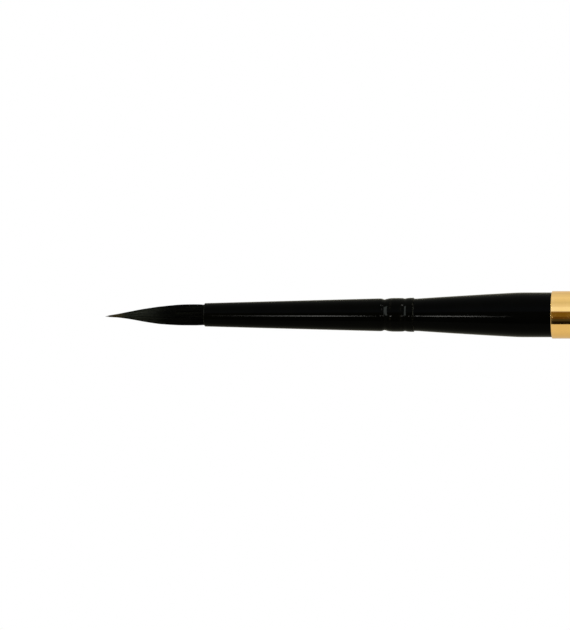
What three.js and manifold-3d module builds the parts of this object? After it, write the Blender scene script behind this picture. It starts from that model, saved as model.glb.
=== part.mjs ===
// Fine detail brush: a reversible pocket brush, head plugged into its hollow barrel, lying on a table.
// Millimetres, +Z up. The brush's axis runs along X, hair towards -X, tail towards +X.
// Origin: under the middle of the brush, on the surface it lies on.
//
// Lengthwise places are given as stations: millimetres from the front face of the gold collar, positive
// towards the tail.
import * as THREE from "three";
import { mergeVertices } from "three/addons/utils/BufferGeometryUtils.js";
import Module from "manifold-3d";

// ---------------------------------------------------------------- driving dimensions
const SIDES = 24; // facets round every turned piece; a flat one faces down
const BODY_D = 8.0; // collar, barrel and tail cap
const TIP = -75.7; // station of the hair's tip
const FERRULE_FRONT = -58.9;
const FERRULE_REAR = -23.28;
const COLLAR_LENGTH = 6.0;
const MOUTH_GAP = 0.05; // collar's rear face to barrel's mouth
const REAR_LAND = 12.0; // length of plug inside the barrel
const BARREL_END = 88.0;
const TAIL = 93.0;
const LAND_D = 7.53; // both lands, and the plug under the collar
const COLLAR_BORE_D = 7.566;
const BARREL_BORE_D = 7.606; // running clearance of 0.038 round the land
const FERRULE_WALL = 0.24;
const TENON_FRONT = -36.0; // plug's front end, inside the ferrule
const TENON_CLEARANCE = 0.03; // per side, the glue line between tenon and ferrule
const SPIGOT_FRONT = 84.0; // tail cap's spigot, inside the barrel
const SPIGOT_D = 7.556;
const VENT_D = 1.5;
const PIVOT = -62.3; // where the hair starts to bend
const HEEL_R = 1.7; // rounded heel of the free hair, centred on the pivot
const SOCKET_R = 1.85; // hollow front face of the gripped root, centred on the pivot
const TIP_SIDE = 0.35; // the tip lies this far off the axis, towards -Y

const MIDDLE = (TIP + TAIL) / 2;
const AXIS_Z = BODY_D / 2;

// ---------------------------------------------------------------- profiles: [station, diameter]
// Outside of the hair, tip first.
const HAIR = [
  [-75.66, 0.04],
  [-75.13, 0.2],
  [-74.62, 0.38],
  [-73.6, 0.65],
  [-72.58, 0.98],
  [-71.55, 1.35],
  [-70.53, 1.74],
  [-69.51, 2.12],
  [-68.49, 2.45],
  [-67.46, 2.75],
  [-66.44, 3.0],
  [-65.42, 3.19],
  [-64.4, 3.36],
  [-63.38, 3.5],
  [PIVOT, 3.57],
];

// Outside of the ferrule, front first: straight taper, deep groove, rounded band, shallow groove, lip.
const FERRULE = [
  [FERRULE_FRONT, 3.87],
  [FERRULE_FRONT + 0.08, 3.97],
  [-50.0, 4.45],
  [-40.0, 4.974],
  [-29.3, 5.53],
  [-29.05, 5.5],
  [-28.72, 5.35],
  [-28.36, 5.2],
  [-28.0, 5.37],
  [-27.66, 5.53],
  [-27.2, 5.65],
  [-26.2, 5.68],
  [-25.4, 5.66],
  [-25.12, 5.57],
  [-24.86, 5.5],
  [-24.5, 5.59],
  [-24.15, 5.73],
  [-23.8, 5.77],
  [-23.36, 5.77],
  [FERRULE_REAR, 5.69],
];

// Outside of the plug from the ferrule's rear end to the front land.
const CONE = [
  [FERRULE_REAR + 0.06, 5.46],
  [-22.14, 5.57],
  [-19.07, 5.965],
  [-14.98, 6.47],
  [-10.89, 6.94],
  [-8.2, 7.26],
  [-6.8, 7.42],
  [-5.78, 7.495],
  [-4.75, 7.54],
  [-3.9, LAND_D],
];

// ---------------------------------------------------------------- helpers
const xOf = (station) => station - MIDDLE;

function at(profile, station) {
  const last = profile.length - 1;
  if (station <= profile[0][0]) return profile[0][1];
  if (station >= profile[last][0]) return profile[last][1];
  const i = profile.findIndex(([s]) => s >= station);
  const [s0, d0] = profile[i - 1];
  const [s1, d1] = profile[i];
  return d0 + ((d1 - d0) * (station - s0)) / (s1 - s0);
}

// A turned piece from its half section [station, diameter]. The facets lie on the stated diameter, so the
// piece measures that diameter across flats, and one of them faces straight down.
function turned(section, sides = SIDES) {
  const toCorner = 0.5 / Math.cos(Math.PI / sides);
  const points = section.map(([s, d]) => new THREE.Vector2(d * toCorner, xOf(s)));
  const shape = new THREE.LatheGeometry(points, sides, Math.PI / sides, 2 * Math.PI);
  shape.rotateZ(-Math.PI / 2);
  return closed(shape);
}

// The same surface with shared corners merged and the empty triangles on the axis removed.
function closed(shape) {
  shape.deleteAttribute("normal");
  shape.deleteAttribute("uv");
  const merged = mergeVertices(shape, 1e-4);
  const from = merged.index.array;
  const p = merged.getAttribute("position");
  const kept = [];
  const [a, b, c, n] = [0, 0, 0, 0].map(() => new THREE.Vector3());
  for (let i = 0; i < from.length; i += 3) {
    const [j, k, l] = [from[i], from[i + 1], from[i + 2]];
    if (j === k || k === l || l === j) continue;
    a.fromBufferAttribute(p, j);
    b.fromBufferAttribute(p, k).sub(a);
    c.fromBufferAttribute(p, l).sub(a);
    if (n.crossVectors(b, c).length() > 1e-9) kept.push(j, k, l);
  }
  merged.setIndex(kept);
  return merged;
}

const wasm = await Module();
wasm.setup();

const solid = (shape) =>
  new wasm.Manifold(
    new wasm.Mesh({
      numProp: 3,
      vertProperties: new Float32Array(shape.getAttribute("position").array),
      triVerts: new Uint32Array(shape.index.array),
    }),
  );

function shapeOf(body) {
  const mesh = body.getMesh();
  const shape = new THREE.BufferGeometry();
  shape.setAttribute("position", new THREE.BufferAttribute(new Float32Array(mesh.vertProperties), 3));
  shape.setIndex(new THREE.BufferAttribute(new Uint32Array(mesh.triVerts), 1));
  return shape;
}

const brush = new THREE.Group();
brush.position.z = AXIS_Z;

function piece(name, shape, look) {
  shape.computeVertexNormals();
  const mesh = new THREE.Mesh(shape, new THREE.MeshStandardMaterial(look));
  mesh.name = name;
  brush.add(mesh);
  return mesh;
}

const LOOKS = {
  hair: { color: 0x0b0b0a, roughness: 0.55, metalness: 0.0 },
  thread: { color: 0xd9d2bf, roughness: 0.9, metalness: 0.0 },
  resin: { color: 0xb47a2c, roughness: 0.25, metalness: 0.0 },
  lacquer: { color: 0x050505, roughness: 0.16, metalness: 0.0 },
  gloss: { color: 0x060606, roughness: 0.2, metalness: 0.0 },
  gold: { color: 0xe9be78, roughness: 0.12, metalness: 1.0 },
};

// ---------------------------------------------------------------- hair
// Free length: rounded heel on the pivot, belly, needle point. It bows a little to one side towards the tip.
const heel = [90, 75, 60, 45, 30, 15].map((deg) => {
  const t = (deg * Math.PI) / 180;
  return [PIVOT + HEEL_R * Math.sin(t), 2 * HEEL_R * Math.cos(t)];
});
heel[0][1] = 0;
const point = turned([[TIP, 0], ...HAIR, ...heel.reverse()]);
const spots = point.getAttribute("position");
for (let i = 0; i < spots.count; i++) {
  const along = Math.max(0, (xOf(PIVOT) - spots.getX(i)) / (PIVOT - TIP));
  spots.setY(i, spots.getY(i) - TIP_SIDE * along ** 2);
}
piece("tuft_point", point, LOOKS.hair);

// Gripped root: hollowed in front to clear the heel, fills the ferrule's bore, narrows where the thread is wound.
const BIND_FRONT = -51.6;
const BIND_REAR = -50.1;
const bore = (s) => at(FERRULE, s) - 2 * FERRULE_WALL;
const ROOT_END = -49.0;
const socket = [0, 12, 24, 36, 48, 57].map((deg) => {
  const t = (deg * Math.PI) / 180;
  return [PIVOT + SOCKET_R * Math.cos(t), 2 * SOCKET_R * Math.sin(t)];
});
piece(
  "tuft_root",
  turned([
    ...socket,
    [PIVOT + 1.15, 3.56],
    [FERRULE_FRONT - 0.12, 3.48],
    [FERRULE_FRONT - 0.02, bore(FERRULE_FRONT + 0.1) - 0.08],
    [BIND_FRONT - 0.1, bore(BIND_FRONT) - 0.08],
    [BIND_FRONT - 0.05, 3.24],
    [BIND_REAR + 0.05, 3.24],
    [BIND_REAR + 0.1, 3.5],
    [ROOT_END, 3.5],
    [ROOT_END, 0],
  ]),
  LOOKS.hair,
);

// Thread wound round the root, as one closed band with a ridge for each turn.
const TURNS = 6;
const band = [[BIND_FRONT, 3.3]];
for (let i = 0; i < TURNS; i++) {
  const w = (BIND_REAR - BIND_FRONT) / TURNS;
  const s = BIND_FRONT + i * w;
  band.push([s + 0.02, 3.62], [s + w / 2, 3.72], [s + w - 0.02, 3.62]);
}
band.push([BIND_REAR, 3.3], [BIND_FRONT, 3.3]);
piece("root_binding", turned(band), LOOKS.thread);

// Resin poured in behind the root, with a hollow rear face where it crept up the wall.
piece(
  "resin_plug",
  turned([
    [ROOT_END + 0.05, 0],
    [ROOT_END + 0.05, 3.5],
    [ROOT_END + 0.25, bore(ROOT_END) - 0.04],
    [-44.6, bore(-44.6) - 0.04],
    [-45.4, 3.2],
    [-45.7, 1.6],
    [-45.8, 0],
  ]),
  LOOKS.resin,
);

// ---------------------------------------------------------------- ferrule
// One drawn tube: the crimps show inside as well as outside.
const inside = FERRULE.slice(1, -1).map(([s, d]) => [s, d - 2 * FERRULE_WALL]);
inside[0][0] = FERRULE_FRONT;
inside[inside.length - 1][0] = FERRULE_REAR;
piece("ferrule", turned([...FERRULE, ...inside.reverse(), FERRULE[0]]), LOOKS.lacquer);

// ---------------------------------------------------------------- plug
// Tenon with the crimps pressed into it, small shoulder, cone, front land, land under the collar, rear land.
const tenon = [[TENON_FRONT, 0], [TENON_FRONT, bore(TENON_FRONT) - 0.5], [TENON_FRONT + 0.4, bore(TENON_FRONT + 0.4) - 2 * TENON_CLEARANCE]];
for (const [s, d] of FERRULE)
  if (s > TENON_FRONT + 0.5 && s < FERRULE_REAR - 0.1)
    tenon.push([s, Math.min(d, 5.73) - 2 * FERRULE_WALL - 2 * TENON_CLEARANCE]);
tenon.push([FERRULE_REAR + 0.05, 5.18]);
const rearEnd = COLLAR_LENGTH + REAR_LAND;
piece(
  "section_plug",
  turned([
    ...tenon,
    ...CONE,
    [COLLAR_LENGTH + 1, LAND_D],
    [rearEnd - 0.7, LAND_D],
    [rearEnd - 0.25, LAND_D - 0.35],
    [rearEnd, LAND_D - 1.1],
    [rearEnd, 0],
  ]),
  LOOKS.gloss,
);

// ---------------------------------------------------------------- collar
piece(
  "stop_collar",
  turned([
    [0, 7.86],
    [0.07, BODY_D],
    [COLLAR_LENGTH - 0.07, BODY_D],
    [COLLAR_LENGTH, 7.86],
    [COLLAR_LENGTH, COLLAR_BORE_D],
    [0, COLLAR_BORE_D],
    [0, 7.86],
  ]),
  LOOKS.gold,
);

// ---------------------------------------------------------------- barrel
const MOUTH = COLLAR_LENGTH + MOUTH_GAP;
piece(
  "barrel_tube",
  turned([
    [MOUTH, 7.86],
    [MOUTH + 0.07, BODY_D],
    [BARREL_END, BODY_D],
    [BARREL_END, BARREL_BORE_D],
    [MOUTH, BARREL_BORE_D],
    [MOUTH, 7.86],
  ]),
  LOOKS.lacquer,
);

// Tail cap: spigot with a lead-in, head with a rounded rear edge and a flat tail face, vent hole through it.
const cap = turned([
  [SPIGOT_FRONT, 0],
  [SPIGOT_FRONT, SPIGOT_D - 0.6],
  [SPIGOT_FRONT + 0.3, SPIGOT_D],
  [BARREL_END + 0.02, SPIGOT_D],
  [BARREL_END + 0.02, BODY_D - 0.1],
  [BARREL_END + 0.07, BODY_D],
  [TAIL - 1.1, BODY_D],
  [TAIL - 0.7, 7.86],
  [TAIL - 0.32, 7.45],
  [TAIL - 0.08, 6.86],
  [TAIL, 6.2],
  [TAIL, 0],
]);
const vent = turned(
  [
    [SPIGOT_FRONT - 1, 0],
    [SPIGOT_FRONT - 1, VENT_D],
    [TAIL + 1, VENT_D],
    [TAIL + 1, 0],
  ],
  12,
);
piece("tail_cap", shapeOf(solid(cap).subtract(solid(vent))), LOOKS.gold);

export default brush;
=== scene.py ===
import math

import bmesh
import bpy
import numpy as np
from mathutils import Matrix, Vector


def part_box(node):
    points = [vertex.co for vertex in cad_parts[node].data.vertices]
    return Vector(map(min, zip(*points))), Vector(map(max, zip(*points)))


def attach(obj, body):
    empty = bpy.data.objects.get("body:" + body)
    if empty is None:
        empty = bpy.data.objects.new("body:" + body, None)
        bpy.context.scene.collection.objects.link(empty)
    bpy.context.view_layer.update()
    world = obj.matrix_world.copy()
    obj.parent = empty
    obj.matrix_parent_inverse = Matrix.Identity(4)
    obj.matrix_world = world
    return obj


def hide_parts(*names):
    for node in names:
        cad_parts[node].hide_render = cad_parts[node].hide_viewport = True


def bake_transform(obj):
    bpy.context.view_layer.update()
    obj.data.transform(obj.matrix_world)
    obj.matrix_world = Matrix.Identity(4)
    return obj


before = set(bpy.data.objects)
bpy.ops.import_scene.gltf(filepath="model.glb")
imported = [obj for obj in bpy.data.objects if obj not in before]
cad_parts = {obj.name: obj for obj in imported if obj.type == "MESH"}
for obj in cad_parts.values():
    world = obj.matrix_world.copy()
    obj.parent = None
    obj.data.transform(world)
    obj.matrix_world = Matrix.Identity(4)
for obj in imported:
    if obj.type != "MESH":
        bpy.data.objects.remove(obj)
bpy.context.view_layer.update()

# ---------------------------------------------------------------- frame of the brush
# Stations are millimetres from the front face of the collar, positive towards the tail.
COLLAR_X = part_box("stop_collar")[0][0]
AXIS_Z = (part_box("stop_collar")[0][2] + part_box("stop_collar")[1][2]) / 2


def X(station):
    return COLLAR_X + station / 1000.0


SEGS = 208
rng = np.random.default_rng(20)

# ---------------------------------------------------------------- profile helpers


def pchip(xs, ys, x):
    """Monotone cubic through the points, so turned shapes stay smooth and never overshoot."""
    xs, ys, x = np.asarray(xs, float), np.asarray(ys, float), np.asarray(x, float)
    h = np.diff(xs)
    d = np.diff(ys) / h
    m = np.zeros_like(ys)
    m[0], m[-1] = d[0], d[-1]
    for i in range(1, len(xs) - 1):
        if d[i - 1] * d[i] <= 0:
            m[i] = 0
        else:
            w1, w2 = 2 * h[i] + h[i - 1], h[i] + 2 * h[i - 1]
            m[i] = (w1 + w2) / (w1 / d[i - 1] + w2 / d[i])
    i = np.clip(np.searchsorted(xs, x) - 1, 0, len(xs) - 2)
    t = np.clip((x - xs[i]) / h[i], 0, 1)
    return (
        (2 * t**3 - 3 * t**2 + 1) * ys[i]
        + (t**3 - 2 * t**2 + t) * h[i] * m[i]
        + (-2 * t**3 + 3 * t**2) * ys[i + 1]
        + (t**3 - t**2) * h[i] * m[i + 1]
    )


def rounded(corners, closed=False, n=5, step=2.0):
    """Half section from corners (station, radius, fillet radius), long runs cut every few millimetres."""
    pts = [np.array(c[:2], float) for c in corners]
    m = len(pts)
    out = []
    for i, c in enumerate(corners):
        f = c[2] if len(c) > 2 else 0.0
        if f <= 0 or (not closed and i in (0, m - 1)):
            out.append(pts[i])
            continue
        p = pts[i]
        a, b = pts[i - 1] - p, pts[(i + 1) % m] - p
        la, lb = np.linalg.norm(a), np.linalg.norm(b)
        a, b = a / la, b / lb
        ang = math.acos(max(-1, min(1, float(a @ b))))
        if ang > math.pi - 0.02:
            out.append(p)
            continue
        t = min(f / math.tan(ang / 2), 0.48 * la, 0.48 * lb)
        r = t * math.tan(ang / 2)
        centre = p + (a + b) / np.linalg.norm(a + b) * r / math.sin(ang / 2)
        va, vb = p + a * t - centre, p + b * t - centre
        a0, a1 = math.atan2(va[1], va[0]), math.atan2(vb[1], vb[0])
        turn = (a1 - a0 + math.pi) % (2 * math.pi) - math.pi
        for k in range(n + 1):
            th = a0 + turn * k / n
            out.append(centre + r * np.array([math.cos(th), math.sin(th)]))
    full = []
    count = len(out)
    for i in range(count):
        full.append(out[i])
        if i == count - 1 and not closed:
            break
        q = out[(i + 1) % count]
        cuts = int(np.linalg.norm(q - out[i]) // step)
        for k in range(1, cuts + 1):
            full.append(out[i] + (q - out[i]) * k / (cuts + 1))
    return full


def lathe(name, profile, closed=False, segs=SEGS, edges=(), mat=None, sharp=38):
    """A turned piece about the brush's axis. edges are (station, width) where the finish is handled most."""
    rings = []
    verts = []
    marks = []
    for s, r in profile:
        if r < 1e-6:
            rings.append([len(verts)])
            verts.append((X(s), 0.0, AXIS_Z))
            marks.append(0.0)
            continue
        first = len(verts)
        rings.append(list(range(first, first + segs)))
        e = max([math.exp(-(((s - c) / w) ** 2)) for c, w in edges] or [0.0])
        for k in range(segs):
            t = 2 * math.pi * k / segs
            verts.append((X(s), r / 1000 * math.sin(t), AXIS_Z + r / 1000 * math.cos(t)))
            marks.append(e)
    faces = []
    pairs = list(zip(rings, rings[1:])) + ([(rings[-1], rings[0])] if closed else [])
    for a, b in pairs:
        if len(a) == 1 and len(b) == 1:
            continue
        for k in range(segs):
            j = (k + 1) % segs
            if len(a) == 1:
                faces.append((a[0], b[k], b[j]))
            elif len(b) == 1:
                faces.append((a[k], b[0], a[j]))
            else:
                faces.append((a[k], b[k], b[j], a[j]))
    mesh = bpy.data.meshes.new(name)
    mesh.from_pydata(verts, [], faces)
    bm = bmesh.new()
    bm.from_mesh(mesh)
    bmesh.ops.recalc_face_normals(bm, faces=bm.faces)
    bm.to_mesh(mesh)
    bm.free()
    mesh.attributes.new("handled", "FLOAT", "POINT").data.foreach_set(
        "value", np.array(marks, np.float32)
    )
    mesh.polygons.foreach_set("use_smooth", [True] * len(mesh.polygons))
    mesh.set_sharp_from_angle(angle=math.radians(sharp))
    obj = bpy.data.objects.new(name, mesh)
    bpy.context.scene.collection.objects.link(obj)
    if mat:
        mesh.materials.append(mat)
    return obj


# ---------------------------------------------------------------- material helpers


def new_material(name, **sockets):
    mat = bpy.data.materials.new(name)
    mat.use_nodes = True
    nt = mat.node_tree
    bsdf = nt.nodes["Principled BSDF"]
    for key, value in sockets.items():
        bsdf.inputs[key.replace("_", " ")].default_value = value
    return mat, nt, bsdf


def add(nt, kind, **props):
    n = nt.nodes.new(kind)
    for key, value in props.items():
        if key.startswith("in_"):
            n.inputs[key[3:].replace("_", " ")].default_value = value
        else:
            setattr(n, key, value)
    return n


def math_node(nt, op, a, b=None, clamp=False):
    n = add(nt, "ShaderNodeMath", operation=op, use_clamp=clamp)
    for i, v in enumerate((a, b)):
        if v is None:
            continue
        if isinstance(v, (int, float)):
            n.inputs[i].default_value = v
        else:
            nt.links.new(v, n.inputs[i])
    return n.outputs[0]


def remap(nt, value, lo, hi, to_lo, to_hi, smooth=False):
    n = add(nt, "ShaderNodeMapRange")
    if smooth:
        n.interpolation_type = "SMOOTHSTEP"
    nt.links.new(value, n.inputs["Value"])
    for key, v in (("From Min", lo), ("From Max", hi), ("To Min", to_lo), ("To Max", to_hi)):
        n.inputs[key].default_value = v
    return n.outputs["Result"]


def blend_colour(nt, factor, a, b):
    n = add(nt, "ShaderNodeMix", data_type="RGBA")
    nt.links.new(factor, n.inputs[0])
    for i, v in ((6, a), (7, b)):
        if isinstance(v, tuple):
            n.inputs[i].default_value = (*v, 1.0)
        else:
            nt.links.new(v, n.inputs[i])
    return n.outputs[2]


def coordinates(nt, scale=(1, 1, 1)):
    """Places on the piece itself, in metres, so the pattern moves with it."""
    tc = add(nt, "ShaderNodeTexCoord")
    mp = add(nt, "ShaderNodeMapping")
    nt.links.new(tc.outputs["Object"], mp.inputs["Vector"])
    mp.inputs["Scale"].default_value = scale
    return mp.outputs["Vector"]


def noise(nt, vector, scale, detail=3.0, rough=0.5):
    n = add(nt, "ShaderNodeTexNoise", in_Scale=scale, in_Detail=detail, in_Roughness=rough)
    nt.links.new(vector, n.inputs["Vector"])
    return n.outputs["Fac"]


def cells(nt, vector, scale):
    n = add(nt, "ShaderNodeTexVoronoi", in_Scale=scale)
    nt.links.new(vector, n.inputs["Vector"])
    return n


def bump(nt, bsdf, height, distance, strength=1.0, normal=None):
    b = add(nt, "ShaderNodeBump", in_Strength=strength, in_Distance=distance)
    nt.links.new(height, b.inputs["Height"])
    if normal is not None:
        nt.links.new(normal, b.inputs["Normal"])
    return b.outputs["Normal"]


def specks(nt, vector, scale, size, share):
    """Few small round specks: 1 on a speck, 0 elsewhere."""
    v = cells(nt, vector, scale)
    near = remap(nt, v.outputs["Distance"], 0.0, size, 1.0, 0.0, True)
    sep = add(nt, "ShaderNodeSeparateColor")
    nt.links.new(v.outputs["Color"], sep.inputs[0])
    chosen = math_node(nt, "LESS_THAN", sep.outputs[0], share)
    return math_node(nt, "MULTIPLY", near, chosen)


# ---------------------------------------------------------------- materials


def black_gloss(name, turned_lines, deep, pale, rough_lo, rough_hi, ior):
    """Gloss black: faint tone drift, orange peel or turning lines, settled dust, rubbed edges."""
    mat, nt, bsdf = new_material(name, IOR=ior)
    bsdf.inputs["Sheen Weight"].default_value = 0.09
    bsdf.inputs["Sheen Roughness"].default_value = 0.3
    bsdf.inputs["Sheen Tint"].default_value = (1.0, 1.0, 0.62, 1.0)
    at = coordinates(nt)
    long_at = coordinates(nt, (0.18, 1, 1))
    drift = noise(nt, at, 260.0, 4.0)
    base = blend_colour(nt, drift, deep, pale)
    handled = add(nt, "ShaderNodeAttribute", attribute_name="handled").outputs["Fac"]
    patch = noise(nt, at, 1500.0, 4.0, 0.7)
    rub = math_node(nt, "MULTIPLY", handled, remap(nt, patch, 0.45, 0.75, 0.0, 1.0, True))
    base = blend_colour(nt, math_node(nt, "MULTIPLY", rub, 0.5), base, (0.006, 0.005, 0.0035))
    dust = specks(nt, at, 900.0, 0.055, 0.035)
    lint = specks(nt, coordinates(nt, (1, 2.4, 2.4)), 420.0, 0.035, 0.05)
    dirt = math_node(nt, "MAXIMUM", dust, lint)
    base = blend_colour(nt, math_node(nt, "MULTIPLY", dirt, 0.55), base, (0.11, 0.105, 0.095))
    nt.links.new(base, bsdf.inputs["Base Color"])
    haze = noise(nt, long_at, 420.0, 5.0, 0.6)
    rough = remap(nt, haze, 0.3, 0.7, rough_lo, rough_hi)
    rough = math_node(nt, "ADD", rough, math_node(nt, "MULTIPLY", rub, 0.18))
    rough = math_node(nt, "ADD", rough, math_node(nt, "MULTIPLY", dirt, 0.3), clamp=True)
    nt.links.new(rough, bsdf.inputs["Roughness"])
    peel = noise(nt, at, 1300.0, 2.0)
    normal = bump(nt, bsdf, peel, 0.0000022)
    if turned_lines:
        lines = noise(nt, coordinates(nt, (1, 0.012, 0.012)), 26000.0, 2.0, 0.6)
        normal = bump(nt, bsdf, lines, 0.00000035, 1.0, normal)
    else:
        drawn = noise(nt, coordinates(nt, (0.02, 1, 1)), 7000.0, 2.0, 0.6)
        normal = bump(nt, bsdf, drawn, 0.0000003, 1.0, normal)
    normal = bump(nt, bsdf, dirt, 0.00001, 1.0, normal)
    nt.links.new(normal, bsdf.inputs["Normal"])
    return mat


def gold_plate(name):
    """Polished gold plate: turning lines round the piece, hairline scratches, soft tone and gloss changes."""
    mat, nt, bsdf = new_material(name, Metallic=1.0)
    at = coordinates(nt)
    lines_at = coordinates(nt, (1, 0.01, 0.01))
    drift = noise(nt, at, 380.0, 4.0)
    base = blend_colour(nt, drift, (0.93, 0.575, 0.175), (0.97, 0.625, 0.205))
    fine = noise(nt, lines_at, 21000.0, 3.0, 0.65)
    base = blend_colour(nt, remap(nt, fine, 0.35, 0.7, 0.0, 0.22), base, (0.80, 0.47, 0.13))
    handled = add(nt, "ShaderNodeAttribute", attribute_name="handled").outputs["Fac"]
    patch = noise(nt, at, 1700.0, 4.0, 0.7)
    rub = math_node(nt, "MULTIPLY", handled, remap(nt, patch, 0.4, 0.75, 0.0, 0.8, True))
    base = blend_colour(nt, rub, base, (0.96, 0.70, 0.36))
    scratch_at = coordinates(nt, (0.22, 2.4, 1.6))
    hair = noise(nt, scratch_at, 9000.0, 1.0, 0.3)
    scratch = remap(nt, hair, 0.70, 0.78, 0.0, 1.0, True)
    base = blend_colour(nt, math_node(nt, "MULTIPLY", scratch, 0.35), base, (0.70, 0.42, 0.14))
    nt.links.new(base, bsdf.inputs["Base Color"])
    haze = noise(nt, at, 520.0, 5.0, 0.6)
    rough = remap(nt, haze, 0.3, 0.7, 0.045, 0.095)
    rough = math_node(nt, "ADD", rough, math_node(nt, "MULTIPLY", scratch, 0.10))
    rough = math_node(nt, "ADD", rough, math_node(nt, "MULTIPLY", rub, 0.08))
    nt.links.new(rough, bsdf.inputs["Roughness"])
    normal = bump(nt, bsdf, fine, 0.0000002)
    normal = bump(nt, bsdf, math_node(nt, "SUBTRACT", 1.0, scratch), 0.00000018, 1.0, normal)
    nt.links.new(normal, bsdf.inputs["Normal"])
    return mat


def hair_material(name):
    """Black filaments: each its own tone, paler streaks, a painted greenish sheen along the taper, tan at the point."""
    mat, nt, bsdf = new_material(name, IOR=1.055)
    own = add(nt, "ShaderNodeAttribute", attribute_name="own").outputs["Fac"]
    along = add(nt, "ShaderNodeAttribute", attribute_name="along").outputs["Fac"]
    tone = math_node(nt, "POWER", own, 2.2)
    base = blend_colour(nt, tone, (0.0001, 0.0001, 0.00006), (0.0010, 0.0010, 0.0006))
    pale = remap(nt, own, 0.9, 1.0, 0.0, 0.55)
    base = blend_colour(nt, pale, base, (0.0048, 0.0047, 0.0027))
    # Painted sheen: a greenish-grey band along the taper, stronger on some filaments than on others.
    painted_taper_sheen = math_node(nt, "MULTIPLY", remap(nt, along, 0.34, 0.64, 0.0, 1.0, True), remap(nt, own, 0.1, 1.0, 0.05, 0.95))
    base = blend_colour(nt, painted_taper_sheen, base, (0.0085, 0.0086, 0.0060))
    tip = remap(nt, along, 0.74, 0.95, 0.0, 1.0, True)
    base = blend_colour(nt, tip, base, (0.018, 0.013, 0.0052))
    nt.links.new(base, bsdf.inputs["Base Color"])
    streak = noise(nt, coordinates(nt, (0.06, 1, 1)), 9000.0, 3.0, 0.6)
    rough = remap(nt, streak, 0.3, 0.7, 0.20, 0.34)
    nt.links.new(rough, bsdf.inputs["Roughness"])
    normal = bump(nt, bsdf, streak, 0.000003)
    nt.links.new(normal, bsdf.inputs["Normal"])
    return mat


def thread_material(name):
    mat, nt, bsdf = new_material(name, IOR=1.45)
    at = coordinates(nt)
    wave = add(nt, "ShaderNodeTexWave", in_Scale=5200.0, in_Distortion=1.2, in_Detail=2.0)
    wave.bands_direction = "DIAGONAL"
    nt.links.new(at, wave.inputs["Vector"])
    base = blend_colour(nt, wave.outputs["Fac"], (0.40, 0.34, 0.24), (0.72, 0.66, 0.52))
    fuzz = noise(nt, at, 9000.0, 3.0)
    base = blend_colour(nt, remap(nt, fuzz, 0.35, 0.65, 0.0, 0.4), base, (0.50, 0.45, 0.34))
    nt.links.new(base, bsdf.inputs["Base Color"])
    nt.links.new(remap(nt, fuzz, 0.3, 0.7, 0.75, 0.95), bsdf.inputs["Roughness"])
    nt.links.new(bump(nt, bsdf, wave.outputs["Fac"], 0.00002), bsdf.inputs["Normal"])
    return mat


def resin_material(name):
    mat, nt, bsdf = new_material(name, IOR=1.52)
    at = coordinates(nt)
    cloud = noise(nt, at, 700.0, 4.0)
    base = blend_colour(nt, cloud, (0.26, 0.10, 0.016), (0.50, 0.24, 0.055))
    bubbles = specks(nt, at, 1600.0, 0.16, 0.25)
    base = blend_colour(nt, math_node(nt, "MULTIPLY", bubbles, 0.6), base, (0.62, 0.40, 0.16))
    nt.links.new(base, bsdf.inputs["Base Color"])
    nt.links.new(remap(nt, cloud, 0.3, 0.7, 0.14, 0.3), bsdf.inputs["Roughness"])
    nt.links.new(bump(nt, bsdf, bubbles, 0.00002), bsdf.inputs["Normal"])
    return mat


LACQUER = black_gloss("black_lacquer", False, (0.0001, 0.0001, 0.0001), (0.0005, 0.0005, 0.0003), 0.05, 0.10, 1.07)
PLASTIC = black_gloss("black_turned_plastic", True, (0.0001, 0.0001, 0.0001), (0.0005, 0.0005, 0.0004), 0.055, 0.11, 1.07)
GOLD = gold_plate("gold_plate")
HAIR_MAT = hair_material("black_hair")
THREAD = thread_material("wound_thread")
RESIN = resin_material("amber_resin")

# ---------------------------------------------------------------- ferrule
FERRULE_FRONT, FERRULE_REAR, WALL = -58.9, -23.28, 0.24
TAPER = [(FERRULE_FRONT + 0.08, 3.97), (-50.0, 4.45), (-40.0, 4.974), (-29.3, 5.53)]
CRIMPS = [
    (-29.3, 5.53), (-29.05, 5.525), (-28.82, 5.50), (-28.64, 5.44), (-28.47, 5.29), (-28.35, 5.205), (-28.2, 5.215),
    (-28.02, 5.32), (-27.82, 5.435), (-27.6, 5.525), (-27.37, 5.59), (-27.1, 5.65), (-26.6, 5.682), (-26.0, 5.685),
    (-25.4, 5.675), (-25.2, 5.65), (-25.05, 5.58), (-24.90, 5.50), (-24.76, 5.505), (-24.6, 5.575), (-24.42, 5.655),
    (-24.15, 5.715), (-23.8, 5.765), (-23.36, 5.77),
]


def ferrule_d(s):
    s = np.asarray(s, float)
    t = np.interp(s, [p[0] for p in TAPER], [p[1] for p in TAPER])
    c = pchip([p[0] for p in CRIMPS], [p[1] for p in CRIMPS], s)
    return np.where(s < CRIMPS[0][0], t, c)


run = np.concatenate([
    np.arange(FERRULE_FRONT + 0.14, -29.6, 1.2),
    np.arange(-29.6, -23.40, 0.055),
])
outer = [np.array([FERRULE_FRONT, 1.845]), np.array([FERRULE_FRONT + 0.012, 1.90]),
         np.array([FERRULE_FRONT + 0.04, 1.95]), np.array([FERRULE_FRONT + 0.08, 1.978])]
outer += [np.array([s, float(ferrule_d(s)) / 2]) for s in run]
outer += [np.array([-23.38, 2.883]), np.array([-23.33, 2.872]), np.array([-23.295, 2.845]), np.array([FERRULE_REAR, 2.80])]
inner_run = np.concatenate([np.arange(-29.6, -23.40, 0.11)[::-1], np.arange(FERRULE_FRONT + 0.14, -29.7, 1.5)[::-1]])
inner = [np.array([FERRULE_REAR, 2.705]), np.array([-23.3, 2.645])]
inner += [np.array([s, min(float(ferrule_d(s)) / 2, 2.865) - WALL]) for s in inner_run]
inner += [np.array([FERRULE_FRONT + 0.04, 1.75]), np.array([FERRULE_FRONT, 1.79])]
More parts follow.
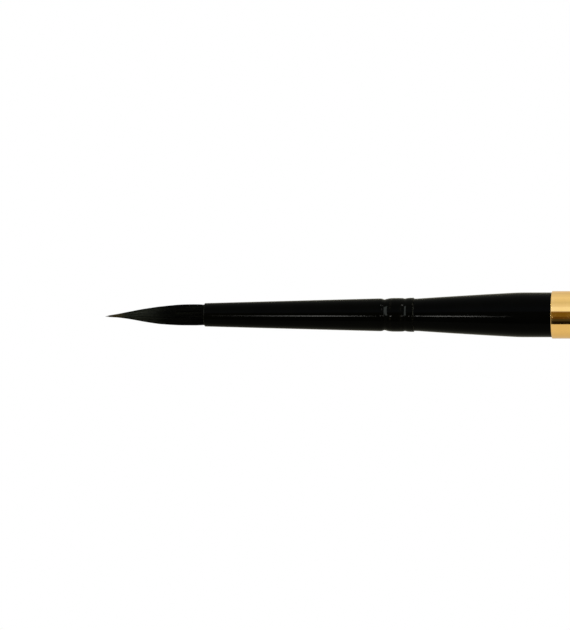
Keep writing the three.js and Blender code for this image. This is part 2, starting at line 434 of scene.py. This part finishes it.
ferrule = lathe("ferrule_shell", outer + inner, closed=True,
                edges=[(FERRULE_FRONT, 0.10), (-27.1, 0.16), (-25.3, 0.14), (-23.35, 0.12)], mat=LACQUER)
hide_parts("ferrule")
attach(ferrule, "head")

# ---------------------------------------------------------------- section plug
CONE = [
    (-23.2, 5.462), (-22.6, 5.492), (-22.14, 5.556), (-21.0, 5.712), (-19.07, 5.968), (-14.98, 6.474), (-10.89, 6.955),
    (-8.2, 7.25), (-6.8, 7.40), (-5.78, 7.485), (-4.75, 7.525), (-3.9, 7.53),
]
LAND_R = 7.53 / 2
tenon = [np.array([-36.0, 0.0]), np.array([-36.0, 2.05]), np.array([-35.93, 2.14]), np.array([-35.6, float(ferrule_d(-35.6)) / 2 - WALL - 0.03])]
for s in np.concatenate([np.arange(-34.5, -29.6, 1.2), np.arange(-29.6, -23.42, 0.11)]):
    tenon.append(np.array([s, min(float(ferrule_d(s)), 5.73) / 2 - WALL - 0.03]))
tenon += [np.array([-23.26, 2.59]), np.array([-23.24, 2.60])]
cone = [np.array([-23.24, 2.71]), np.array([-23.235, 2.722]), np.array([-23.22, 2.7285])]
for s in np.arange(-23.0, -3.9, 0.4):
    cone.append(np.array([s, float(pchip([p[0] for p in CONE], [p[1] for p in CONE], s)) / 2]))
land = [np.array([s, LAND_R]) for s in (-3.8, -3.0, -2.0, -1.2, -0.6, -0.2, 0.2)]
rear = rounded([(2.0, LAND_R), (7.0, LAND_R), (17.3, LAND_R, 0.25), (17.75, LAND_R - 0.175, 0.15),
                (18.0, LAND_R - 0.55, 0.12), (18.0, 0.9, 0.08), (17.55, 0.55, 0.1), (17.55, 0.0)])
plug = lathe("plug_turned", tenon + cone + land + rear,
             edges=[(-23.2, 0.12), (17.6, 0.3)], mat=PLASTIC)
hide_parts("section_plug")
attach(plug, "head")

# ---------------------------------------------------------------- collar
collar = lathe("collar_ring", rounded([
    (0.0, 3.85, 0.02), (0.0, 3.93, 0.012), (0.07, 4.0, 0.012), (5.93, 4.0, 0.05), (6.0, 3.93, 0.04), (6.0, 3.783, 0.03),
    (5.9, 3.785), (0.12, 3.785), (0.0, 3.82, 0.03),
], closed=True, step=0.8), closed=True, edges=[(0.03, 0.06), (5.97, 0.06)], mat=GOLD)
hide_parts("stop_collar")
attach(collar, "head")

# ---------------------------------------------------------------- barrel
barrel = lathe("barrel_shell", rounded([
    (6.05, 3.83, 0.02), (6.05, 3.93, 0.03), (6.12, 4.0, 0.06), (87.95, 4.0, 0.03), (88.0, 3.95, 0.03), (88.0, 3.803),
    (6.25, 3.803, 0.1),
], closed=True), closed=True, edges=[(6.09, 0.10), (87.96, 0.08)], mat=LACQUER)
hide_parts("barrel_tube")
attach(barrel, "barrel")

# ---------------------------------------------------------------- tail cap
# Spigot, head with a rounded end, flat tail face, vent hole with broken edges.
cap = lathe("cap_turned", rounded([
    (84.0, 0.75, 0.06), (84.0, 3.48, 0.05), (84.3, 3.778, 0.1), (88.02, 3.778), (88.02, 3.94, 0.03), (88.08, 4.0, 0.05),
    (91.9, 4.0, 0.8), (92.3, 3.93, 0.9), (92.68, 3.725, 0.8), (92.92, 3.43, 0.6), (93.0, 3.1, 0.5), (93.0, 0.9, 0.06),
    (92.86, 0.75, 0.06),
], closed=True, n=6, step=0.8), closed=True, edges=[(88.05, 0.07), (92.9, 0.12)], mat=GOLD)
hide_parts("tail_cap")
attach(cap, "barrel")

# ---------------------------------------------------------------- binding thread


def tube(name, path, radius, sides, mat):
    """A round thread along a path of points in metres, its ends closed."""
    path = np.asarray(path)
    tangent = np.gradient(path, axis=0)
    tangent /= np.linalg.norm(tangent, axis=1)[:, None]
    axis = np.array([1.0, 0, 0])
    side = np.cross(tangent, axis)
    side /= np.linalg.norm(side, axis=1)[:, None]
    up = np.cross(side, tangent)
    verts, faces = [], []
    for p, a, b in zip(path, side, up):
        for k in range(sides):
            t = 2 * math.pi * k / sides
            verts.append(p + radius * (math.cos(t) * a + math.sin(t) * b))
    count = len(path)
    for i in range(count - 1):
        for k in range(sides):
            j = (k + 1) % sides
            faces.append((i * sides + k, i * sides + j, (i + 1) * sides + j, (i + 1) * sides + k))
    faces.append(tuple(range(sides))[::-1])
    faces.append(tuple((count - 1) * sides + k for k in range(sides)))
    mesh = bpy.data.meshes.new(name)
    mesh.from_pydata([tuple(v) for v in verts], [], faces)
    bm = bmesh.new()
    bm.from_mesh(mesh)
    bmesh.ops.recalc_face_normals(bm, faces=bm.faces)
    bm.to_mesh(mesh)
    bm.free()
    mesh.polygons.foreach_set("use_smooth", [True] * len(mesh.polygons))
    mesh.materials.append(mat)
    obj = bpy.data.objects.new(name, mesh)
    bpy.context.scene.collection.objects.link(obj)
    return obj


turns, per = 6, 56
u = np.linspace(0, turns, turns * per + 1)
wind_r = 1.742 + 0.006 * np.sin(u * 9.0)
wind = np.stack([
    np.array([X(s) for s in -51.46 + u * (1.22 / turns)]),
    wind_r / 1000 * np.sin(2 * math.pi * u),
    AXIS_Z + wind_r / 1000 * np.cos(2 * math.pi * u),
], axis=1)
thread = tube("root_thread", wind, 0.108 / 1000, 8, THREAD)
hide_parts("root_binding")
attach(thread, "head")

# ---------------------------------------------------------------- resin behind the root
resin = lathe("resin_bead", [np.array(p) for p in (
    (-48.93, 0.0), (-48.93, 1.5), (-48.88, 1.72), (-48.70, 1.93), (-47.5, 2.00), (-46.0, 2.045), (-44.75, 2.10),
    (-44.62, 2.095), (-44.9, 2.0), (-45.25, 1.8), (-45.5, 1.45), (-45.68, 0.95), (-45.76, 0.5), (-45.79, 0.0))],
    segs=96, mat=RESIN)
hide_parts("resin_plug")
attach(resin, "head")

# ---------------------------------------------------------------- hair
TIP, PIVOT, MOUTH = -76.15, -62.3, FERRULE_FRONT
# Outline of the shaped tuft: (station, radius, sideways bow).
TUFT = np.array([
    (-76.15, 0.034), (-75.90, 0.076), (-75.69, 0.098), (-75.45, 0.124), (-75.12, 0.158), (-74.61, 0.216), (-74.10, 0.264), (-73.59, 0.334),
    (-73.08, 0.422),
    (-72.57, 0.494), (-72.06, 0.596), (-71.55, 0.678), (-71.04, 0.776), (-70.52, 0.872), (-70.01, 0.962), (-69.50, 1.057),
    (-68.99, 1.139), (-68.48, 1.223), (-67.97, 1.301), (-67.46, 1.375), (-66.95, 1.448), (-66.44, 1.499), (-65.93, 1.548),
    (-65.42, 1.593), (-64.90, 1.636), (-64.39, 1.674), (-63.88, 1.713), (-63.37, 1.745), (-62.86, 1.763), (-62.35, 1.777),
    (-61.33, 1.789), (-60.31, 1.795), (-59.80, 1.778), (-59.29, 1.752), (-58.98, 1.726), (-58.5, 1.728), (-56.0, 1.79),
    (-53.2, 1.84), (-52.2, 1.79), (-51.7, 1.625), (-50.1, 1.625), (-49.7, 1.72), (-49.0, 1.74),
])
BOW = np.array([(-75.69, 0.362), (-74.6, 0.275), (-73.08, 0.172), (-71.55, 0.116), (-70.0, 0.108), (-68.0, 0.122),
                (-66.0, 0.104), (-64.0, 0.052), (-62.3, 0.012), (-60.5, 0.0), (-49.0, 0.0)])


def tuft_r(s):
    return pchip(TUFT[:, 0], TUFT[:, 1], s)


def bow(s):
    return pchip(BOW[:, 0], BOW[:, 1], s)


def filaments(name, rho, angle, tip, r0, sides, outside_cuts, own):
    """One mesh of tapered filaments. rho is each one's place in the tuft, 0 on the axis and 1 at its outside."""
    n = len(rho)
    inside = np.array([-49.02, -50.1, -51.7, -53.4, -56.5])
    verts, faces, along, owns = [], [], [], []
    wave = rng.uniform(0, 2 * math.pi, (n, 2))
    twist = rng.normal(0, 0.045, n)
    for i in range(n):
        u = np.linspace(0, 1, outside_cuts + 1)
        s = np.concatenate([inside, MOUTH + (tip[i] - MOUTH) * (1 - (1 - u) ** 1.25)])
        length = (MOUTH - tip[i])
        v = np.clip((MOUTH - s) / length, 0, 1)
        thick = r0[i] * (1 - v**2.4) ** 0.85 + 0.0022
        env = tuft_r(np.clip(s, TIP, -49.0))
        place = rho[i] * (1 + 0.012 * np.sin(wave[i, 0] + v * 5.0))
        # filaments that end early lie on the surface with their points just free of it
        radial = np.clip(place, 0, 1.0) * np.maximum(env - thick, 0.0015)
        radial = radial + (0.010 * rng.random() + 0.002) * v**5 * (rho[i] > 0.9) * (env > 0.12)
        th = angle[i] + twist[i] * v + 0.012 * np.sin(wave[i, 1] + 4.2 * v)
        cx = np.array([X(a) for a in s])
        cy = radial * np.sin(th) - bow(np.clip(s, TIP, -49.0))
        cz = radial * np.cos(th)
        base = len(verts)
        for j in range(len(s)):
            if j == len(s) - 1:
                verts.append((cx[j], cy[j] / 1000, AXIS_Z + cz[j] / 1000))
                along.append(1.0)
                owns.append(own[i])
                break
            for k in range(sides):
                t = 2 * math.pi * k / sides + th[j]
                verts.append((cx[j], (cy[j] + thick[j] * math.sin(t)) / 1000, AXIS_Z + (cz[j] + thick[j] * math.cos(t)) / 1000))
                along.append(float(np.clip((MOUTH - s[j]) / (MOUTH - TIP), 0, 1)))
                owns.append(own[i])
        last = len(s) - 1
        along[-1] = float(np.clip((MOUTH - s[last]) / (MOUTH - TIP), 0, 1))
        faces.append(tuple(base + k for k in range(sides)))
        for j in range(last - 1):
            a, b = base + j * sides, base + (j + 1) * sides
            for k in range(sides):
                q = (k + 1) % sides
                faces.append((a + k, b + k, b + q, a + q))
        a, apex = base + (last - 1) * sides, base + last * sides
        for k in range(sides):
            faces.append((a + k, apex, a + (k + 1) % sides))
    mesh = bpy.data.meshes.new(name)
    mesh.from_pydata(verts, [], faces)
    mesh.attributes.new("along", "FLOAT", "POINT").data.foreach_set("value", np.array(along, np.float32))
    mesh.attributes.new("own", "FLOAT", "POINT").data.foreach_set("value", np.array(owns, np.float32))
    mesh.polygons.foreach_set("use_smooth", [True] * len(mesh.polygons))
    mesh.materials.append(HAIR_MAT)
    obj = bpy.data.objects.new(name, mesh)
    bpy.context.scene.collection.objects.link(obj)
    return obj


def tips(n, longest, shortest, lean):
    """Where each filament ends: a few at the point, most on the way to it, as the tuft's section allows."""
    u = (np.arange(n) + rng.random(n)) / n
    share = np.array([0.0, 0.012, 0.05, 0.12, 0.28, 0.60, 0.85, 1.0])
    where = np.array([0.0, 0.25, 0.9, 2.0, 4.1, 7.2, 9.2, 11.0])
    s = longest + np.interp(u**lean, share, where)
    return rng.permutation(np.minimum(s, shortest))


def golden(n):
    return (np.arange(n) * 2.399963 + rng.normal(0, 0.02, n)) % (2 * math.pi)


n_out, n_in = 760, 620
outer_hair = filaments("hair_outer", rng.uniform(0.965, 1.0, n_out), golden(n_out), tips(n_out, TIP, -65.5, 0.9),
                       rng.uniform(0.036, 0.046, n_out), 5, 15, rng.random(n_out))
inner_hair = filaments("hair_inner", np.sqrt(rng.uniform(0.02, 0.93, n_in)), golden(n_in), tips(n_in, TIP + 0.02, -69.0, 1.1),
                       rng.uniform(0.040, 0.050, n_in), 4, 13, rng.random(n_in))

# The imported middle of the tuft, ridged lengthwise like the filaments that lie on it.
core_s = np.concatenate([np.linspace(-49.03, -53.0, 12), np.linspace(-53.6, -58.9, 8), np.linspace(-59.3, -75.35, 64)])
core_segs = 144
ridge = rng.normal(0, 1, (core_segs,))
ridge = (ridge - np.roll(ridge, 1)) * 0.5
core_v, core_f, core_along, core_own = [], [], [], []
for s in core_s:
    r = max(float(tuft_r(s)) * 0.955 - 0.018, 0.004)
    for k in range(core_segs):
        t = 2 * math.pi * k / core_segs
        rr = r * (1 + 0.010 * ridge[k])
        core_v.append((X(s), (rr * math.sin(t) - float(bow(s))) / 1000, AXIS_Z + rr * math.cos(t) / 1000))
        core_along.append(float(np.clip((MOUTH - s) / (MOUTH - TIP), 0, 1)))
        core_own.append(float(0.35 + 0.3 * math.sin(k * 2.1) * math.sin(k * 0.37)))
for j in range(len(core_s) - 1):
    for k in range(core_segs):
        q = (k + 1) % core_segs
        core_f.append((j * core_segs + k, (j + 1) * core_segs + k, (j + 1) * core_segs + q, j * core_segs + q))
core_f.append(tuple(range(core_segs)))
core_f.append(tuple((len(core_s) - 1) * core_segs + k for k in range(core_segs))[::-1])
core_mesh = bpy.data.meshes.new("hair_core")
core_mesh.from_pydata(core_v, [], core_f)
bm = bmesh.new()
bm.from_mesh(core_mesh)
bmesh.ops.recalc_face_normals(bm, faces=bm.faces)
bm.to_mesh(core_mesh)
bm.free()
core_mesh.attributes.new("along", "FLOAT", "POINT").data.foreach_set("value", np.array(core_along, np.float32))
core_mesh.attributes.new("own", "FLOAT", "POINT").data.foreach_set("value", np.array(core_own, np.float32))
core_mesh.polygons.foreach_set("use_smooth", [True] * len(core_mesh.polygons))
core_mesh.materials.append(HAIR_MAT)
hair_core = bpy.data.objects.new("hair_core", core_mesh)
bpy.context.scene.collection.objects.link(hair_core)

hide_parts("tuft_point")
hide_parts("tuft_point", "tuft_root")
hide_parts("tuft_point", "tuft_root")
for piece in (outer_hair, inner_hair, hair_core):
    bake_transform(piece)

# ---------------------------------------------------------------- floor
floor_mesh = bpy.data.meshes.new("floor")
half = 40.0
floor_mesh.from_pydata([(-half, -half, 0), (half, -half, 0), (half, half, 0), (-half, half, 0)], [], [(0, 1, 2, 3)])
floor = bpy.data.objects.new("floor", floor_mesh)
bpy.context.scene.collection.objects.link(floor)
floor.location.z = -0.00002
floor_mat = bpy.data.materials.new("pale_floor")
floor_mat.use_nodes = True
nt = floor_mat.node_tree
nt.nodes.clear()
out = add(nt, "ShaderNodeOutputMaterial")
path = add(nt, "ShaderNodeLightPath")
seen = add(nt, "ShaderNodeEmission", in_Color=(1, 1, 1, 1), in_Strength=1.0)
spot = add(nt, "ShaderNodeSeparateXYZ")
nt.links.new(add(nt, "ShaderNodeTexCoord").outputs["Object"], spot.inputs[0])
sheet = remap(nt, spot.outputs["Y"], -0.19, -0.12, 0.02, 1.0, True)
# Painted shade: the floor's glow is dimmed towards the line under the brush, standing in for the brush's own shadow on
# the floor.
painted_contact_shade = remap(nt, math_node(nt, "ABSOLUTE", spot.outputs["Y"]), 0.0, 0.010, 0.78, 1.0, True)
glow = add(nt, "ShaderNodeEmission", in_Color=(0.80, 0.765, 0.69, 1))
nt.links.new(math_node(nt, "MULTIPLY", sheet, painted_contact_shade), glow.inputs["Strength"])
mix = add(nt, "ShaderNodeMixShader")
nt.links.new(path.outputs["Is Camera Ray"], mix.inputs[0])
nt.links.new(glow.outputs[0], mix.inputs[1])
nt.links.new(seen.outputs[0], mix.inputs[2])
nt.links.new(mix.outputs[0], out.inputs["Surface"])
floor_mesh.materials.append(floor_mat)

# ---------------------------------------------------------------- world: a light tent that is open to a dim room in front
world = bpy.data.worlds.new("studio")
bpy.context.scene.world = world
world.use_nodes = True
nt = world.node_tree
nt.nodes.clear()
out = add(nt, "ShaderNodeOutputWorld")
tc = add(nt, "ShaderNodeTexCoord")
sep = add(nt, "ShaderNodeSeparateXYZ")
nt.links.new(tc.outputs["Generated"], sep.inputs[0])
minus_y = math_node(nt, "MULTIPLY", sep.outputs["Y"], -1.0)
phi = math_node(nt, "ARCTAN2", sep.outputs["Z"], minus_y)  # 0 level in front, 90 degrees overhead, 180 level behind
share = math_node(nt, "DIVIDE", phi, math.pi)
GAIN = 1.6
FRONT_TENT = [  # (degrees, colour)
    (-10, (0.03, 0.02, 0.01)),
    (1.5, (0.012, 0.008, 0.003)), (12, (0.010, 0.007, 0.003)), (15, (0.05, 0.042, 0.025)), (24, (0.058, 0.050, 0.030)),
    (27, (0.10, 0.055, 0.008)), (34, (0.10, 0.055, 0.008)), (37, (0.165, 0.105, 0.015)), (48, (0.175, 0.115, 0.015)),
    (58, (0.20, 0.125, 0.018)), (61.5, (0.62, 0.62, 0.72)), (64, (1.02, 1.13, 1.42)), (80, (1.02, 1.13, 1.42)),
    (86, (0.88, 0.93, 1.12)), (95, (0.82, 0.86, 0.96)), (106, (0.74, 0.77, 0.80)), (120, (0.84, 0.87, 0.92)),
    (136, (0.92, 0.95, 1.04)), (146, (0.84, 0.87, 0.94)), (160, (0.80, 0.82, 0.86)), (175, (0.72, 0.72, 0.72)),
]
SIDE_TENT = [
    (-10, (0.7, 0.7, 0.7)), (4, (0.60, 0.59, 0.57)), (14, (0.42, 0.41, 0.38)), (38, (0.42, 0.41, 0.38)), (52, (0.80, 0.80, 0.80)),
    (90, (1.1, 1.1, 1.12)), (125, (0.90, 0.90, 0.90)), (140, (0.55, 0.54, 0.52)), (164, (0.55, 0.54, 0.52)),
    (176, (0.60, 0.59, 0.57)),
]


def ramp(stops):
    n = add(nt, "ShaderNodeValToRGB")
    nt.links.new(share, n.inputs[0])
    e = n.color_ramp.elements
    for _ in range(len(stops) - 2):
        e.new(0.5)
    for item, (deg, colour) in zip(e, stops):
        item.position = max(0.0, deg / 180)
        item.color = (*[c / GAIN for c in colour], 1)
    return n.outputs["Color"]


front, side = ramp(FRONT_TENT[1:]), ramp(SIDE_TENT[1:])
away = math_node(nt, "ABSOLUTE", sep.outputs["X"])
to_side = remap(nt, away, 0.34, 0.50, 0.0, 1.0, True)
tent = blend_colour(nt, to_side, front, side)
to_end = remap(nt, away, 0.80, 0.97, 0.0, 1.0, True)
tent = blend_colour(nt, to_end, tent, (0.82 / GAIN, 0.80 / GAIN, 0.76 / GAIN))
lit = add(nt, "ShaderNodeBackground", in_Strength=GAIN)
nt.links.new(tent, lit.inputs["Color"])
plain = add(nt, "ShaderNodeBackground", in_Color=(1, 1, 1, 1), in_Strength=1.0)
path = add(nt, "ShaderNodeLightPath")
mix = add(nt, "ShaderNodeMixShader")
nt.links.new(path.outputs["Is Camera Ray"], mix.inputs[0])
nt.links.new(lit.outputs[0], mix.inputs[1])
nt.links.new(plain.outputs[0], mix.inputs[2])
nt.links.new(mix.outputs[0], out.inputs["Surface"])

# ---------------------------------------------------------------- lights


def panel(name, at, aim, width, height, radiance, colour=(1, 1, 1)):
    """A rectangular soft light. width runs along X as far as it can."""
    light = bpy.data.lights.new(name, "AREA")
    light.shape = "RECTANGLE"
    light.size, light.size_y = width, height
    light.energy = radiance * math.pi * width * height
    light.color = colour
    obj = bpy.data.objects.new(name, light)
    bpy.context.scene.collection.objects.link(obj)
    z = (Vector(at) - Vector(aim)).normalized()
    x = Vector((1, 0, 0))
    x = (x - z * x.dot(z)).normalized()
    y = z.cross(x)
    m = Matrix((x, y, z)).transposed().to_4x4()
    m.translation = Vector(at)
    obj.matrix_world = m
    obj.visible_camera = False
    return obj


def polar(deg, distance, x):
    a = math.radians(deg)
    return (x, -math.cos(a) * distance, AXIS_Z + math.sin(a) * distance)


# a narrow strip, seen only along the ferrule and the cone, and one further along for the barrel
for name, left, right_end, radiance in (("strip_a", -161, -155, 4.0), ("strip_b", -155, -149, 19.0), ("strip_c", -149, -142, 60.0),
                                         ("strip_d", -142, -128, 128.0), ("strip_e", -128, -122, 74.0), ("strip_f", -122, -119, 5.0)):
    panel(name, polar(35.8, 0.5, (left + right_end) / 2000), (-0.05, 0, AXIS_Z), (right_end - left) / 1000, 0.034, radiance, (1.0, 1.0, 0.95))
panel("strip_barrel", polar(38, 0.5, 0.110), (0.05, 0, AXIS_Z), 0.150, 0.050, 52.0, (1.0, 1.0, 0.95))
# the same behind, for the barrel's far side
panel("strip_back", polar(118, 0.5, 0.120), (0.05, 0, AXIS_Z), 0.130, 0.060, 42.0, (1.0, 1.0, 0.95))
# a tall cool softbox to the left, seen in the grooves and on the tuft's taper
panel("soft_left", polar(76, 0.60, -0.4675), (-0.4675, 0, AXIS_Z), 0.265, 0.86, 22.0, (0.90, 1.0, 0.94))
panel("soft_right", (0.60, 0.02, 0.62), (0, 0, AXIS_Z), 0.40, 0.20, 6.5)

# ---------------------------------------------------------------- camera
AIM = Vector((X(-45.2), 0.0, AXIS_Z))
ELEVATION, ASIDE, DISTANCE = math.radians(45), math.radians(7.2), 0.8
cam = bpy.data.cameras.new("camera")
camera = bpy.data.objects.new("camera", cam)
bpy.context.scene.collection.objects.link(camera)
back = Vector((math.sin(ASIDE), -math.cos(ASIDE) * math.cos(ELEVATION), math.cos(ASIDE) * math.sin(ELEVATION)))
right = (Vector((1, 0, 0)) - back * back.x).normalized()
up = back.cross(right)
m = Matrix((right, up, back)).transposed().to_4x4()
m.translation = AIM + back * DISTANCE - up * 0.000030
camera.matrix_world = m
cam.type = "PERSP"
cam.sensor_fit = "AUTO"
cam.sensor_width = 36.0
cam.lens = 36.0 * DISTANCE * 1000 / (107.35 * math.cos(ASIDE))
cam.clip_start, cam.clip_end = 0.02, 100.0
cam.dof.use_dof = False
bpy.context.scene.camera = camera

bpy.context.scene.view_settings.view_transform = "Standard"
bpy.context.scene.view_settings.look = "None"
